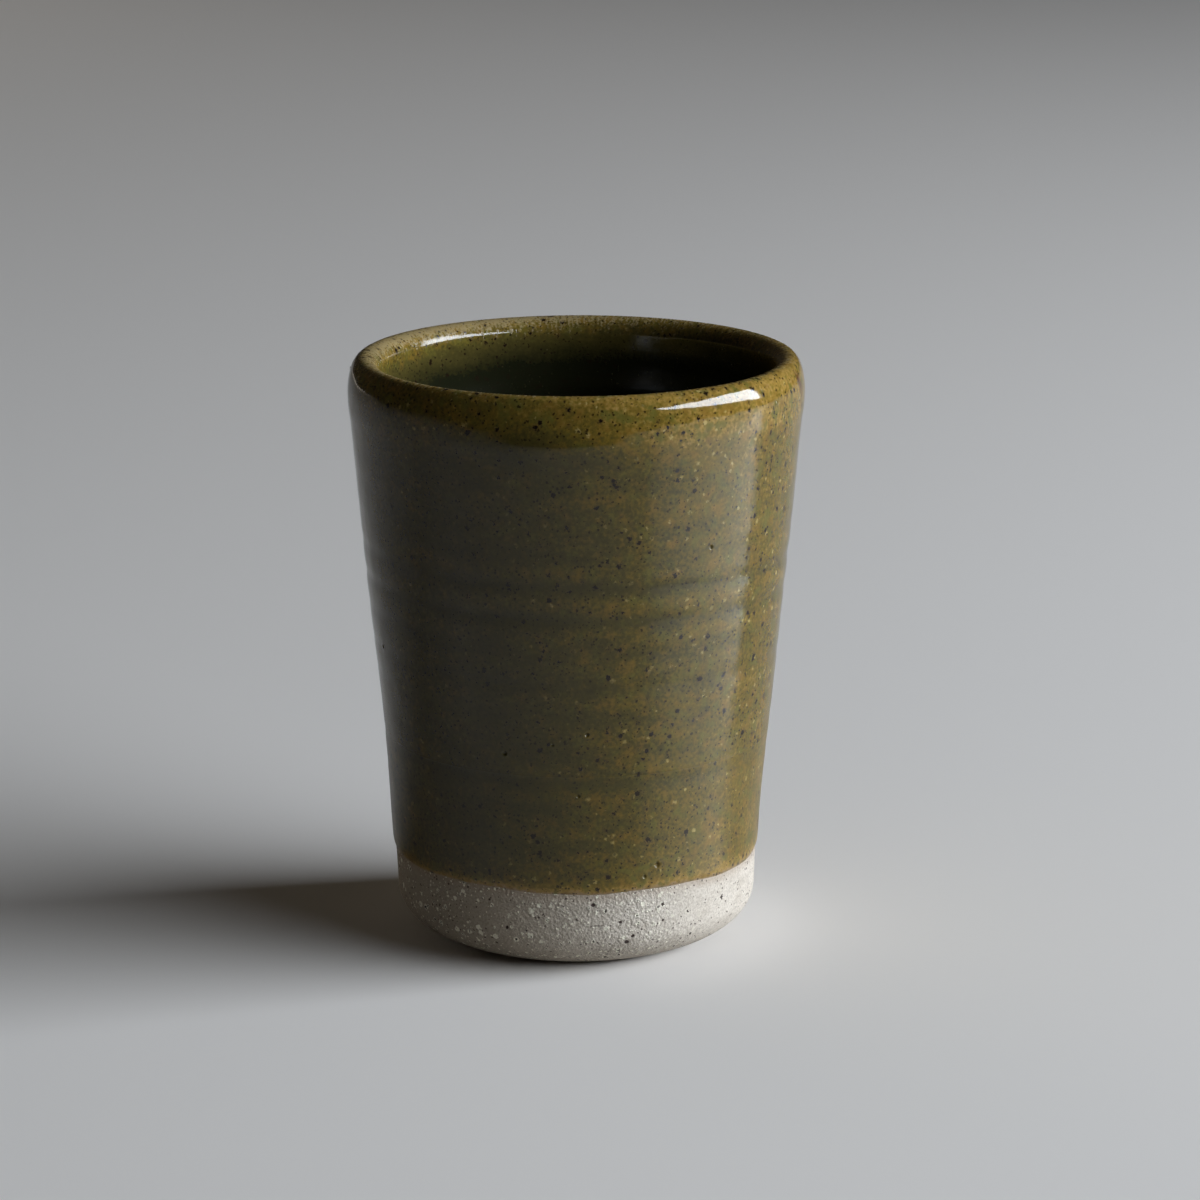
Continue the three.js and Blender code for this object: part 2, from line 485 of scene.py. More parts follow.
def outer_rings(grid, sharpness):
    """The throwing spiral outside, as a groove from 0 to 1."""
    groove = spiral(grid.height - grid.sizes.ring_place, grid.angle, grid.sizes.ring_pitch, sharpness)
    return groove * ring_strength(grid.height)


def inner_rings(grid):
    """The throwing spiral inside, as a groove from 0 to 1 that runs down the wall and in over the floor."""
    return spiral(grid.past, -grid.angle, grid.sizes.inner_pitch, 1)


def lip_roll(grid):
    """The lip's outside is fuller at the front and rounds over sooner: a bell out below and one in above."""
    swing = bell_at(grid.height, ROLL_OUT) - bell_at(grid.height, ROLL_IN)
    return grid.sizes.lip_roll * side_bell(grid.angle, ROLL_SIDE) * swing * grid.outer


def relief(grid):
    """What the thrower's hands left, as a lift: spiral grooves, slow unevenness and the lip's roll."""
    outer = dents(grid) - grid.sizes.ring_depth * outer_rings(grid, 2)
    inner = -grid.sizes.inner_depth * inner_rings(grid)
    return outer * outer_share(grid) + inner * inner_share(grid) + lip_roll(grid)


def above_edge(grid):
    """Height above the lower edge of the outer glaze, which is the glaze line with a few sine waves."""
    waves = sum(height * np.sin(count * grid.angle + phase) for height, count, phase in EDGE_WAVES)
    return grid.height - grid.sizes.glaze_line - waves * MM


def coat_lift(grid):
    """Thickness of the glaze: it grows as an exponential above its lower edge, is doubled over the lip
    and pools on the floor. Below its edge it goes on down into the clay."""
    sizes, outline = grid.sizes, grid.outline
    low, high = outline.outside(OUTER_SEAM), outline.inside(INNER_SEAM)
    doubled = ramp(grid.along - low, -2, 2) * ramp(high - grid.along, -2, 2)
    pooled = smoothstep((FLOOR + sizes.inside_round - grid.height) / sizes.inside_round) * grid.inner
    full = sizes.wall_coat + (sizes.lip_coat - sizes.wall_coat) * doubled
    full = full + (sizes.floor_pool - sizes.wall_coat) * pooled
    above = above_edge(grid) / sizes.edge_run
    share = np.where(above > 0, 1 - np.exp(-np.maximum(above, 0)), above)
    return full * np.where(grid.outer, np.maximum(share, -1), 1)


def glaze_depth(grid):
    """Depth of colour of the glaze, near its thickness in millimetres: thin at its edge and on the lip, and
    thick in grooves. Painted shade deepens it on the front left outside, on the back right inside and most
    of all, to nearly black, inside below the lip; a painted dark reflection deepens it below the lip at the
    front."""
    outline, angle, past = grid.outline, grid.angle, grid.past
    depths = (
        (outline.outside(grid.sizes.glaze_line), 0.37),
        (outline.outside(0.3 * HEIGHT), 0.40),
        (outline.outside(0.6 * HEIGHT), 0.42),
        (outline.outside(0.9 * HEIGHT), 0.39),
        (outline.outside(OUTER_SEAM), 0.34),
        (outline.top - 5 * MM, 0.29),
        (outline.top - 2 * MM, 0.26),
        (outline.top + 1 * MM, 0.25),
        (outline.top + 3 * MM, 0.33),
        # From here the inside is painted darker, nearly black below the lip: painted shade where little
        # light falls inside
        (outline.inside(0.95 * HEIGHT), 0.58),
        (outline.inside(0.90 * HEIGHT), 0.88),
        (outline.inside(0.8 * HEIGHT), 1.0),
        (outline.inside(0.6 * HEIGHT), 0.62),
        (outline.inside(0.3 * HEIGHT), 0.48),
        (outline.end, 0.55),
    )
    depth = np.interp(grid.along, *zip(*depths))
    # Painted shade: darker glaze towards the front left, the side away from the light, turned further left
    # near the lip
    lean = OUTER_SHADE_LEAN * ramp(past, -12, -6)
    depth = depth + OUTER_SHADE * lobe(angle - OUTER_SHADE_SIDE + lean, 3) * ramp(past, 3, -3)
    # Painted shade: darker glaze inside at the back right, which the light doesn't reach
    depth = depth + INNER_SHADE * lobe(angle - INNER_SHADE_SIDE, 2) * ramp(past, -1, 4)
    # Painted dark reflection: darker glaze below the lip at the front, where the wall mirrors no bright
    # floor
    below_lip = bell_at(grid.height, DARK_REFLECTION_HEIGHT) * grid.outer
    depth = depth + LIP_DARK_REFLECTION * side_bell(angle, DARK_REFLECTION_SIDE) * below_lip
    groove = outer_rings(grid, 1.4) - 0.35 * ring_strength(grid.height)
    depth = depth + OUTER_GROOVE * groove * outer_share(grid)
    depth = depth + INNER_GROOVE * (inner_rings(grid) - 0.5) * inner_share(grid)
    above = above_edge(grid) / (2.3 * grid.sizes.edge_run)
    return depth * np.where(grid.outer, 1 - np.exp(-np.maximum(above, 0)), 1)


def distances(grid, places):
    """For each mark of a table, its radius and the distance from it over the outer surface, in radii."""
    for degrees, height, size in places:
        place = grid.outline.outside(height * MM)
        radius, _, _, _ = grid.outline.at(place)
        around = angle_from_front(grid.angle - math.radians(degrees)) * radius
        yield size * MM, np.hypot(around, grid.along - place) / (size * MM)


def marks(grid, places, shape):
    """Sum of a shape set at each place of a table. The shape is a function of the distance in radii, and
    grows with the radius."""
    return sum(radius * shape(distance) for radius, distance in distances(grid, places))


def pinhole(distance):
    """A narrow pit, a flat-bottomed bell, with a low bell-shaped rim round it."""
    return 0.15 * bell((distance - 1.7) / 0.6) - 0.8 * np.exp(-(distance**4))


def bubble(distance):
    """A low dome, a bell with a flat top."""
    return 0.35 * np.exp(-(distance**4))


def speck_field(grid):
    """Closeness to a large iron speck in the clay: 1 at its middle, a half at its edge, 0 further out."""
    nearest = np.min([distance for _, distance in distances(grid, CLAY_SPECKS)], axis=0)
    return np.maximum(1 - nearest / 2, 0)


def rust_field(grid):
    """A short streak down the outside of the lip on the right: a long bell, leaning a little."""
    degrees, height, reach, width, lean = RUST
    down = (grid.outline.outside(height * MM) - grid.along) / (reach * MM)
    around = (grid.angle - math.radians(degrees)) * LIP_RADIUS / (width * MM)
    return bell(down**2) * bell(around - lean * down)


def dry_field(grid):
    """How dry the glaze is: a bell across the crest of the lip, higher on one side of the cup, and a narrow
    bell all the way round."""
    side = lobe(grid.angle - DRY_SIDE, 2)
    band = bell_at(grid.past, DRY_BAND) * (0.25 + 0.75 * side)
    return band + 0.3 * bell_at(grid.past, DRY_CREST) * (1 - side)


def hairline_field(grid):
    """A level crack in the clay: a narrow bell, cut off at its ends."""
    degrees, height, reach, width = HAIRLINE
    down = (grid.along - grid.outline.outside(height * MM)) / (width * MM)
    around = (angle_from_front(grid.angle) - math.radians(degrees)) * LIP_RADIUS / MM
    return bell(down) * smoothstep((reach / 2 - np.abs(around)) / 0.4)


def crinkle_field(grid):
    """A patch of fine ripples below the lip at the front: a bell, wider than it is high."""
    height, reach_down, reach_around = RIPPLES
    down = (grid.along - grid.outline.outside(height * MM)) / (reach_down * MM)
    around = angle_from_front(grid.angle) * LIP_RADIUS / (reach_around * MM)
    return bell(down) * bell(around)


def unrolled(grid):
    """The surface unrolled onto a tube of the lip's radius, as a vector: around it and along the outline."""
    place = (LIP_RADIUS * np.sin(grid.angle), -LIP_RADIUS * np.cos(grid.angle), grid.along)
    return np.stack(np.broadcast_arrays(*place), axis=-1)


def gathered(low, high, step, places, fine, reach):
    """Positions from low to high, a step apart, and drawn together to a fine step within reach of places.

    The spacing wanted at each position is inverted and summed, and the sum is divided evenly.
    """
    dense = np.linspace(low, high, 20000)
    nearest = np.min(np.abs(dense[:, None] - np.array(places)[None, :]), axis=1)
    spacing = fine + (step - fine) * smoothstep(nearest / reach - 1)
    count = np.concatenate(([0], np.cumsum(np.diff(dense) / spacing[1:])))
    return np.interp(np.linspace(0, count[-1], int(count[-1]) + 1), count, dense)


def marked_grid(outline, low, high, edges, places, steps, fine, reach):
    """Grid of a coat, drawn together at its edges and at the marks of a table. The steps along and around,
    the fine step and its reach are in millimetres."""
    rows = [outline.outside(height * MM) for _, height, _ in places]
    columns = [math.radians(degrees) % TURN for degrees, _, _ in places]
    arc = MM / LIP_RADIUS
    along = gathered(low, high, steps[0] * MM, [*edges, *rows], fine * MM, reach * MM)
    angle = gathered(0, TURN, steps[1] * arc, columns, fine * arc, reach * arc)
    return Grid(outline, along, angle[:-1])


def even_columns(count):
    """Angles an even step apart, all the way round."""
    return np.linspace(0, TURN, count, endpoint=False)


def cup_points(grid, lift):
    """Points of the cup: the outline turned about +Z and moved outwards by lift.

    Towards the lip the cup is slightly oval, by a cosine of twice the angle, and stands higher on the right.
    """
    angle, sizes = grid.angle, grid.sizes
    radius = grid.radius + grid.out * lift
    height = grid.height + grid.up * lift
    share = np.clip(height / HEIGHT, 0, 1)
    radius = radius * (1 + sizes.oval / LIP_RADIUS * np.cos(2 * angle - OVAL_TURN) * share**2)
    height = height + sizes.lip_tilt * np.sin(angle) * share**3
    return np.stack((radius * np.sin(angle), -radius * np.cos(angle), height), axis=-1)


def turned_mesh(name, points, poles, sharp_rows=(), **attributes):
    """A closed mesh of rows of points around the axis, facing out, with smooth shading and point attributes.

    With poles, the first and last rows are single points on the axis. Without, the last row joins the first.
    The edges along a sharp row stay sharp.
    """
    rows, columns, _ = points.shape
    kept = np.ones((rows, columns), bool)
    if poles:
        kept[(0, -1), 1:] = False
        points[(0, -1), :, :2] = 0
    number_at = np.cumsum(kept).reshape(rows, columns) - 1
    ahead = np.roll(number_at, -1, axis=1)
    above, above_ahead = np.roll(number_at, -1, axis=0), np.roll(ahead, -1, axis=0)
    quads = np.stack((number_at, ahead, above_ahead, above), axis=-1)
    faces = []
    if poles:
        faces = np.concatenate((quads[0][:, (0, 2, 3)], quads[-2][:, (0, 1, 2)])).tolist()
        quads = quads[1:-2]
    faces += quads.reshape(-1, 4).tolist()
    mesh = bpy.data.meshes.new(name)
    mesh.from_pydata(points[kept], [], faces)
    for key, values in attributes.items():
        vector = np.ndim(values) == 3
        kind, field = ("FLOAT_VECTOR", "vector") if vector else ("FLOAT", "value")
        full = np.broadcast_to(values, points.shape if vector else points.shape[:2])[kept]
        data = mesh.attributes.new(key, kind, "POINT").data
        data.foreach_set(field, full.ravel().astype(np.float32))
    mesh.shade_smooth()
    ends = np.zeros(len(mesh.edges) * 2, np.int32)
    mesh.edges.foreach_get("vertices", ends)
    end_rows = np.repeat(np.arange(rows), columns)[kept.ravel()][ends].reshape(-1, 2)
    sharp = np.isin(end_rows[:, 0], sharp_rows) & (end_rows[:, 0] == end_rows[:, 1])
    mesh.attributes.new("sharp_edge", "BOOLEAN", "EDGE").data.foreach_set("value", sharp)
    return mesh


def add_object(name, data):
    """An object in the scene at the origin."""
    made = bpy.data.objects.new(name, data)
    bpy.context.scene.collection.objects.link(made)
    return made


def add_piece(name, mesh, material, node, slot):
    """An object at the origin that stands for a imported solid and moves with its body."""
    mesh.materials.append(material)
    piece = add_object(name, mesh)
    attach(piece, BODY)
    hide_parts(node)


def add(tree, kind, inputs=None, **settings):
    """A shader node with its settings, its inputs given as values or as sockets to join."""
    node = tree.nodes.new(kind)
    for key, value in settings.items():
        setattr(node, key, value)
    for key, value in (inputs or {}).items():
        if isinstance(value, bpy.types.NodeSocket):
            tree.links.new(value, node.inputs[key])
        else:
            node.inputs[key].default_value = value
    return node


def math_node(tree, operation, first, second=0.0, third=0.0):
    """The result of one sum."""
    return add(tree, "ShaderNodeMath", {0: first, 1: second, 2: third}, operation=operation).outputs[0]


def times(tree, first, second):
    """The product of two numbers."""
    return math_node(tree, "MULTIPLY", first, second)


def plus(tree, total, value, weight):
    """A total with a weighted value added to it."""
    return math_node(tree, "MULTIPLY_ADD", value, weight, total)


def largest(tree, first, *others):
    """The largest of some numbers."""
    for other in others:
        first = math_node(tree, "MAXIMUM", first, other)
    return first


def sway(tree, value, noise, amount):
    """A value moved up and down by noise that lies around a half."""
    return plus(tree, value, math_node(tree, "SUBTRACT", noise, 0.5), amount)


def vector_math(tree, operation, inputs):
    """The result of one sum of vectors."""
    return add(tree, "ShaderNodeVectorMath", inputs, operation=operation).outputs[0]


def parts_of(tree, vector):
    """The X, Y and Z of a vector."""
    return add(tree, "ShaderNodeSeparateXYZ", {0: vector}).outputs


def mix_colours(tree, share, first, second):
    """The first colour with a share of the second over it."""
    first = first if isinstance(first, bpy.types.NodeSocket) else (*first, 1)
    inputs = {0: share, 6: first, 7: (*second, 1)}
    return add(tree, "ShaderNodeMix", inputs, data_type="RGBA").outputs[2]


def remap(tree, value, low, high, to_low=0.0, to_high=1.0):
    """A value taken from one range to another, smooth and held at its ends."""
    inputs = {"Value": value, 1: low, 2: high, 3: to_low, 4: to_high}
    return add(tree, "ShaderNodeMapRange", inputs, interpolation_type="SMOOTHSTEP").outputs[0]


def attribute(tree, name, output="Fac"):
    """A point attribute of the mesh."""
    return add(tree, "ShaderNodeAttribute", attribute_name=name).outputs[output]


def noise_at(tree, coordinates, scale, detail=2.0, stretch=None):
    """Noise from 0 to 1, drawn out where a stretch is given."""
    if stretch:
        mapping = {"Vector": coordinates, "Scale": stretch}
        coordinates = add(tree, "ShaderNodeMapping", mapping).outputs[0]
    inputs = {"Vector": coordinates, "Scale": scale, "Detail": detail}
    return add(tree, "ShaderNodeTexNoise", inputs).outputs["Fac"]


def new_group(name, inputs, outputs):
    """An empty shader node group with named number sockets, and a vector socket where one is called so.
    Returns it, its inlets and its outlets."""
    tree = bpy.data.node_groups.new(name, "ShaderNodeTree")
    for side, sockets in (("INPUT", inputs), ("OUTPUT", outputs)):
        for socket in sockets:
            kind = "NodeSocketVector" if socket == "Vector" else "NodeSocketFloat"
            tree.interface.new_socket(socket, in_out=side, socket_type=kind)
    return tree, tree.nodes.new("NodeGroupInput").outputs, tree.nodes.new("NodeGroupOutput").inputs


def specks_group():
    """Specks scattered through a material: some cells of a Voronoi net hold one each.

    Noise pulls the net about, so that a speck has a ragged edge. A cell's random colour says whether it
    holds a speck and how big that is, and slow noise makes them more common in some places. The mask is
    the speck itself, and the halo a soft stain or dome around it.
    """
    inputs = ("Vector", "Cells", "Share", "Size", "Ragged")
    tree, given, result = new_group("Specks", inputs, ("Mask", "Halo"))
    pull = add(tree, "ShaderNodeTexNoise", {"Vector": given["Vector"], "Scale": 2600.0, "Detail": 2.0})
    centred = vector_math(tree, "SUBTRACT", {0: pull.outputs["Color"], 1: (0.5, 0.5, 0.5)})
    offset = vector_math(tree, "SCALE", {0: centred, "Scale": given["Ragged"]})
    pulled = vector_math(tree, "ADD", {0: given["Vector"], 1: offset})
    cells = add(tree, "ShaderNodeTexVoronoi", {"Vector": pulled, "Scale": given["Cells"]}).outputs
    drawn = add(tree, "ShaderNodeSeparateColor", {"Color": cells["Color"]}).outputs
    crowd = remap(tree, noise_at(tree, given["Vector"], 130.0, 1.0), 0.35, 0.65, 0.6, 1.3)
    held = math_node(tree, "LESS_THAN", drawn["Red"], times(tree, given["Share"], crowd))
    spread = plus(tree, 0.3, math_node(tree, "POWER", drawn["Green"], 2.0), 0.7)
    away = math_node(tree, "DIVIDE", cells["Distance"], times(tree, spread, given["Size"]))
    for outlet, edge in (("Mask", 1.0), ("Halo", 2.3)):
        tree.links.new(times(tree, remap(tree, away, edge, 0.8), held), result[outlet])
    return tree


def wheel_lines_group():
    """Fine level lines that the wheel drew: noise that is drawn out around the cup and fine up it."""
    tree, given, result = new_group("Wheel lines", ("Vector", "Lines"), ("Height",))
    lines = noise_at(tree, given["Vector"], given["Lines"], 2.0, stretch=(0.05, 0.05, 1.0))
    tree.links.new(lines, result["Height"])
    return tree


def place_group(tree, name, maker, inputs):
    """The outlets of a node group in one material. The group is made once and used again."""
    group = bpy.data.node_groups.get(name) or maker()
    return add(tree, "ShaderNodeGroup", inputs, node_tree=group).outputs


def specks(tree, place, cells, share, size, ragged):
    """Mask and halo of specks, with the numbers that the table of scattered specks explains."""
    inputs = {"Vector": place, "Cells": cells, "Share": share, "Size": size, "Ragged": ragged}
    outlets = place_group(tree, "Specks", specks_group, inputs)
    return outlets["Mask"], outlets["Halo"]


def wheel_lines(tree, place, lines):
    """Height of the wheel's level lines, that many in a metre."""
    inputs = {"Vector": place, "Lines": lines}
    return place_group(tree, "Wheel lines", wheel_lines_group, inputs)["Height"]


def new_material(name):
    """A material with only its shader. Returns it, its tree, the shader's inlets and Object coordinates."""
    material = bpy.data.materials.new(name)
    material.use_nodes = True
    tree = material.node_tree
    shader = tree.nodes["Principled BSDF"].inputs
    return material, tree, shader, tree.nodes.new("ShaderNodeTexCoord").outputs["Object"]


def colour_ramp(tree, value, stops):
    """A colour read from stops of position and colour."""
    node = add(tree, "ShaderNodeValToRGB", {"Fac": value})
    elements = node.color_ramp.elements
    while len(elements) < len(stops):
        elements.new(1.0)
    for element, (position, rgb) in zip(elements, stops):
        element.position = position
        element.color = (*rgb, 1)
    return node.outputs["Color"]


def set_bump(tree, shader, microns):
    """Fine relief of a surface, from a height in microns."""
    bump = add(tree, "ShaderNodeBump", {"Height": microns, "Distance": MICRON})
    tree.links.new(bump.outputs["Normal"], shader["Normal"])


def olive_glaze(colours):
    """Glossy glaze whose colour follows its depth: brown where thin, olive, mossy and nearly black where
    shade is painted into it.

    Slow noise shifts the depth in patches, level bands follow the wheel, and fine noise breaks it up where
    it is thin. Pale flecks and iron specks lie in it, and each larger speck stains the glaze around it. The
    crest of the lip is streaked with dry, paler glaze. The gloss has slow swells and a slight ripple, and
    is softer low on the wall, deep inside and where the glaze is dry.
    """
    name = "Olive glaze"
    if name in bpy.data.materials:
        return bpy.data.materials[name]
    material, tree, shader, place = new_material(name)
    depth = attribute(tree, "glaze_depth")
    patches = noise_at(tree, place, 120.0, 3.0, stretch=(1.0, 1.0, 2.2))
    bands = wheel_lines(tree, place, 420.0)
    breaks = noise_at(tree, place, 1500.0, 4.0)
    shade = sway(tree, sway(tree, depth, patches, 0.27), bands, 0.08)
    shade = sway(tree, shade, breaks, remap(tree, depth, 0.48, 0.70, 0.62, 0.22))
    stops = (
        (0.06, colours.fringe),
        (0.22, colours.amber),
        (0.40, colours.olive),
        (0.60, colours.moss),
        # The darkest stop is mostly painted shade inside below the lip
        (0.95, colours.pool),
    )
    body = colour_ramp(tree, shade, stops)

    # Redder and greener clouds, and pale flecks, where the glaze is thin enough to see into
    clouds = noise_at(tree, place, 420.0, 3.0)
    clear = remap(tree, shade, 0.30, 0.75, 0.80, 0.0)
    body = mix_colours(tree, times(tree, remap(tree, clouds, 0.52, 0.68), clear), body, colours.ember)
    body = mix_colours(tree, times(tree, remap(tree, clouds, 0.48, 0.32), clear), body, colours.leaf)
    _, flecks = specks(tree, place, *PALE_FLECKS)
    flecks = times(tree, flecks, remap(tree, shade, 0.35, 0.70, 0.90, 0.0))
    body = mix_colours(tree, flecks, body, colours.fleck)

    # Dry streaks and rust on the lip
    flow = attribute(tree, "unrolled", "Vector")
    streaks = noise_at(tree, flow, 1500.0, 4.0, stretch=(1.0, 1.0, 0.35))
    crumbs = noise_at(tree, place, 2400.0, 2.0)
    dry = sway(tree, sway(tree, attribute(tree, "dry"), streaks, 1.3), crumbs, 1.5)
    dry = remap(tree, dry, 0.35, 1.0)
    body = mix_colours(tree, times(tree, dry, 0.8), body, colours.straw)
    body = mix_colours(tree, times(tree, attribute(tree, "rust"), 0.9), body, colours.rust)

    # Iron specks, closer together where the glaze is thin, and the stains around them
    crowd = remap(tree, depth, 0.36, 0.12, 0.70, 1.5)
    coarse, halo = specks(tree, place, 560.0, crowd, 0.31, 0.0011)
    fine, _ = specks(tree, place, *FINE_IRON)
    stained = times(tree, halo, remap(tree, shade, 0.5, 0.75, 0.35, 0.0))
    body = mix_colours(tree, stained, body, colours.stain)
    body = mix_colours(tree, largest(tree, coarse, times(tree, fine, 0.85)), body, colours.iron)
    tree.links.new(body, shader["Base Color"])

    satin = remap(tree, parts_of(tree, place)["Z"], 66 * MM, 32 * MM, GLOSS, 0.30)
    deep = remap(tree, depth, 0.62, 0.85, GLOSS, 0.15)
    rough = largest(tree, satin, deep, remap(tree, dry, 0.0, 1.0, GLOSS, 0.36))
    tree.links.new(rough, shader["Roughness"])
    shader["IOR"].default_value = GLAZE_IOR

    line_height = plus(tree, 3.0, attribute(tree, "crinkle"), 45.0)
    height = times(tree, wheel_lines(tree, place, 1100.0), line_height)
    height = plus(tree, height, noise_at(tree, place, 150.0, 1.0), 130.0)
    height = plus(tree, height, noise_at(tree, place, 600.0, 1.0), 10.0)
    height = plus(tree, height, times(tree, dry, crumbs), 40.0)
    set_bump(tree, shader, height)
    return material


def bare_stoneware(colours):
    """Dry fired clay: sandy, with pale grains, iron specks and a hairline, and stained brown just below the
    glaze. Painted shade makes it darker and browner towards the left, the side away from the light. Its
    lower edge is smoother, and towards its right side the pale grains and the relief fade."""
    material, tree, shader, place = new_material("Bare stoneware")
    across = parts_of(tree, place)
    # Painted shade: darker, browner clay towards the left, away from the light
    left_shade = remap(tree, across["X"], 14 * MM, -22 * MM)
    # Less pale grain and less relief towards the right side
    texture_share = remap(tree, across["X"], 25 * MM, 10 * MM, 0.12, 1.0)
    sand = noise_at(tree, place, 2500.0, 4.0)
    clouds = noise_at(tree, place, 170.0, 3.0, stretch=(1.0, 1.0, 2.0))
    body = mix_colours(tree, left_shade, colours.clay, colours.clay_left_shade)
    body = mix_colours(tree, remap(tree, sand, 0.60, 0.36, 0.0, 0.45), body, colours.clay_shade)
    body = mix_colours(tree, remap(tree, clouds, 0.45, 0.75, 0.0, 0.35), body, colours.clay_shade)
    body = mix_colours(tree, attribute(tree, "flash"), body, colours.flash)

    large_grains, large_domes = specks(tree, place, *LARGE_GRAINS)
    small_grains, small_domes = specks(tree, place, *SMALL_GRAINS)
    pale = largest(tree, large_grains, times(tree, small_grains, 0.9))
    body = mix_colours(tree, times(tree, pale, texture_share), body, colours.grog)

    spots = remap(tree, sway(tree, attribute(tree, "iron"), sand, 0.5), 0.46, 0.62)
    coarse, _ = specks(tree, place, *COARSE_ORE)
    fine, _ = specks(tree, place, *FINE_ORE)
    crack = times(tree, attribute(tree, "hairline"), 0.8)
    dark = largest(tree, spots, coarse, times(tree, fine, 0.85), crack)
    body = mix_colours(tree, times(tree, dark, 0.95), body, colours.ore)
    tree.links.new(body, shader["Base Color"])
    tree.links.new(remap(tree, sand, 0.3, 0.7, 0.95, 0.82), shader["Roughness"])
    shader["Specular IOR Level"].default_value = 0.3

    grit = add(tree, "ShaderNodeTexVoronoi", {"Vector": place, "Scale": 1500.0}).outputs["Distance"]
    height = times(tree, grit, remap(tree, across["Z"], 3 * MM, 8 * MM, -40.0, -130.0))
    height = plus(tree, height, sand, 190.0)
    height = plus(tree, height, wheel_lines(tree, place, 900.0), 14.0)
    height = plus(tree, height, large_domes, 100.0)
    height = plus(tree, height, small_domes, 40.0)
    height = plus(tree, height, dark, -40.0)
    set_bump(tree, shader, times(tree, height, texture_share))
    return material


def clay_lift(grid, iron):
    """Relief of the clay. Its bare foot has pits at the large iron specks and turning marks in the hollow
    under it, and it sinks a little below the seat of the glaze where the glaze covers it."""
    sizes, radius = grid.sizes, grid.radius
    bare = ramp(above_edge(grid), 2.5, 1) * grid.outer
    ring = sizes.foot_radius - sizes.foot_tuck - sizes.stand_width
    turning = np.cos(TURN * radius / TURNING_PITCH + 2 * np.cos(grid.angle)) * ramp(radius, 0, 3)
    turning = turning * ramp(ring - sizes.hollow_bevel - radius, 0, 2) * (grid.along < ring)
    cut = TURNING_DEPTH * turning - PIT_DEPTH * smoothstep(2 * iron - 0.6)
    return relief(grid) + cut * bare - SEAT_DEPTH * (1 - bare)


class BEERCUP_OT_clay(bpy.types.Operator):
    """Throw and turn the clay body, with its bare speckled foot"""

    bl_idname = "beer_cup.clay"
    bl_label = "Clay body"

    def execute(self, context):
        sizes, colours = context.scene.cup_sizes, context.scene.cup_colours
        outline = Outline(sizes)
        bare_to = outline.outside(sizes.glaze_line + 1 * MM)
        corner = outline.inside(FLOOR + 0.2 * sizes.inside_round)
        under = np.linspace(0, outline.along[outline.stand], 40)
        crack = outline.outside(HAIRLINE[1] * MM)
        foot = gathered(under[-1], bare_to, 0.33 * MM, [crack], 0.06 * MM, 0.3 * MM)[1:]
        hidden = gathered(bare_to, outline.end, 6 * MM, [outline.top, corner], 0.7 * MM, 3 * MM)
        grid = Grid(outline, np.concatenate((under, foot, hidden)), even_columns(540))
        iron, below = speck_field(grid), np.maximum(-above_edge(grid), 0)
        fields = {"iron": iron, "flash": 0.45 * bell(below / FLASH_REACH), "hairline": hairline_field(grid)}
        points = cup_points(grid, clay_lift(grid, iron))
        mesh = turned_mesh("thrown_clay", points, poles=True, **fields)
        add_piece("thrown_clay", mesh, bare_stoneware(colours), "clay_body", "bare_clay")
        return {"FINISHED"}


def lay_coat(context, name, slot, grid, seat_rows, bumps=0, to_axis=False, **fields):
    """Add a coat of glaze as a closed shell: a plain seat on the clay, walked backwards, and the surface
    over it, which is lifted by the relief, the coat's thickness and its bumps.

    A coat that covers the floor goes on to the axis. The fields become attributes of the surface. The coat
    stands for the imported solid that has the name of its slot.
    """
    back = np.linspace(grid.along[-1, 0], grid.along[0, 0], seat_rows)
    seat = Grid(grid.outline, back, grid.angle[0])
    below = cup_points(seat, relief(seat) - SEAT_DEPTH)
    surface = cup_points(grid, relief(grid) + coat_lift(grid) + bumps)
    attributes = {}
    for key, values in {**fields, "glaze_depth": glaze_depth(grid), "unrolled": unrolled(grid)}.items():
        blank = np.zeros((seat_rows, *values.shape[1:]))
        attributes[key] = np.concatenate((blank, values))
    points = np.concatenate((below, surface))
    mesh = turned_mesh(name, points, to_axis, (seat_rows, len(points) - 1), **attributes)
    add_piece(name, mesh, olive_glaze(context.scene.cup_colours), slot, slot)


class BEERCUP_OT_outer_glaze(bpy.types.Operator):
    """Dip the outside in glaze, from the glaze line up to the lip"""

    bl_idname = "beer_cup.outer_glaze"
    bl_label = "Outer glaze"

    def execute(self, context):
        sizes = context.scene.cup_sizes
        outline = Outline(sizes)
        low, high = outline.outside(sizes.glaze_line - 1.1 * MM), outline.outside(OUTER_SEAM)
        edges = (outline.outside(sizes.glaze_line), high)
        grid = marked_grid(outline, low, high, edges, PINHOLES, (0.66, 0.66), 0.14, 0.45)
        holes = marks(grid, PINHOLES, pinhole)
        lay_coat(context, "dipped_coat", "outer_glaze", grid, 12, holes, crinkle=crinkle_field(grid))
        return {"FINISHED"}


class BEERCUP_OT_lip_glaze(bpy.types.Operator):
    """Lay the double coat of glaze over the lip"""

    bl_idname = "beer_cup.lip_glaze"
    bl_label = "Lip glaze"

    def execute(self, context):
        outline = Outline(context.scene.cup_sizes)
        low, high = outline.outside(OUTER_SEAM), outline.inside(INNER_SEAM)
        grid = marked_grid(outline, low, high, (low, high), BUBBLES, (0.3, 0.5), 0.13, 0.4)
        domes = marks(grid, BUBBLES, bubble)
        fields = {"rust": rust_field(grid), "dry": dry_field(grid)}
        lay_coat(context, "lip_coat", "lip_glaze", grid, 60, domes, **fields)
        return {"FINISHED"}


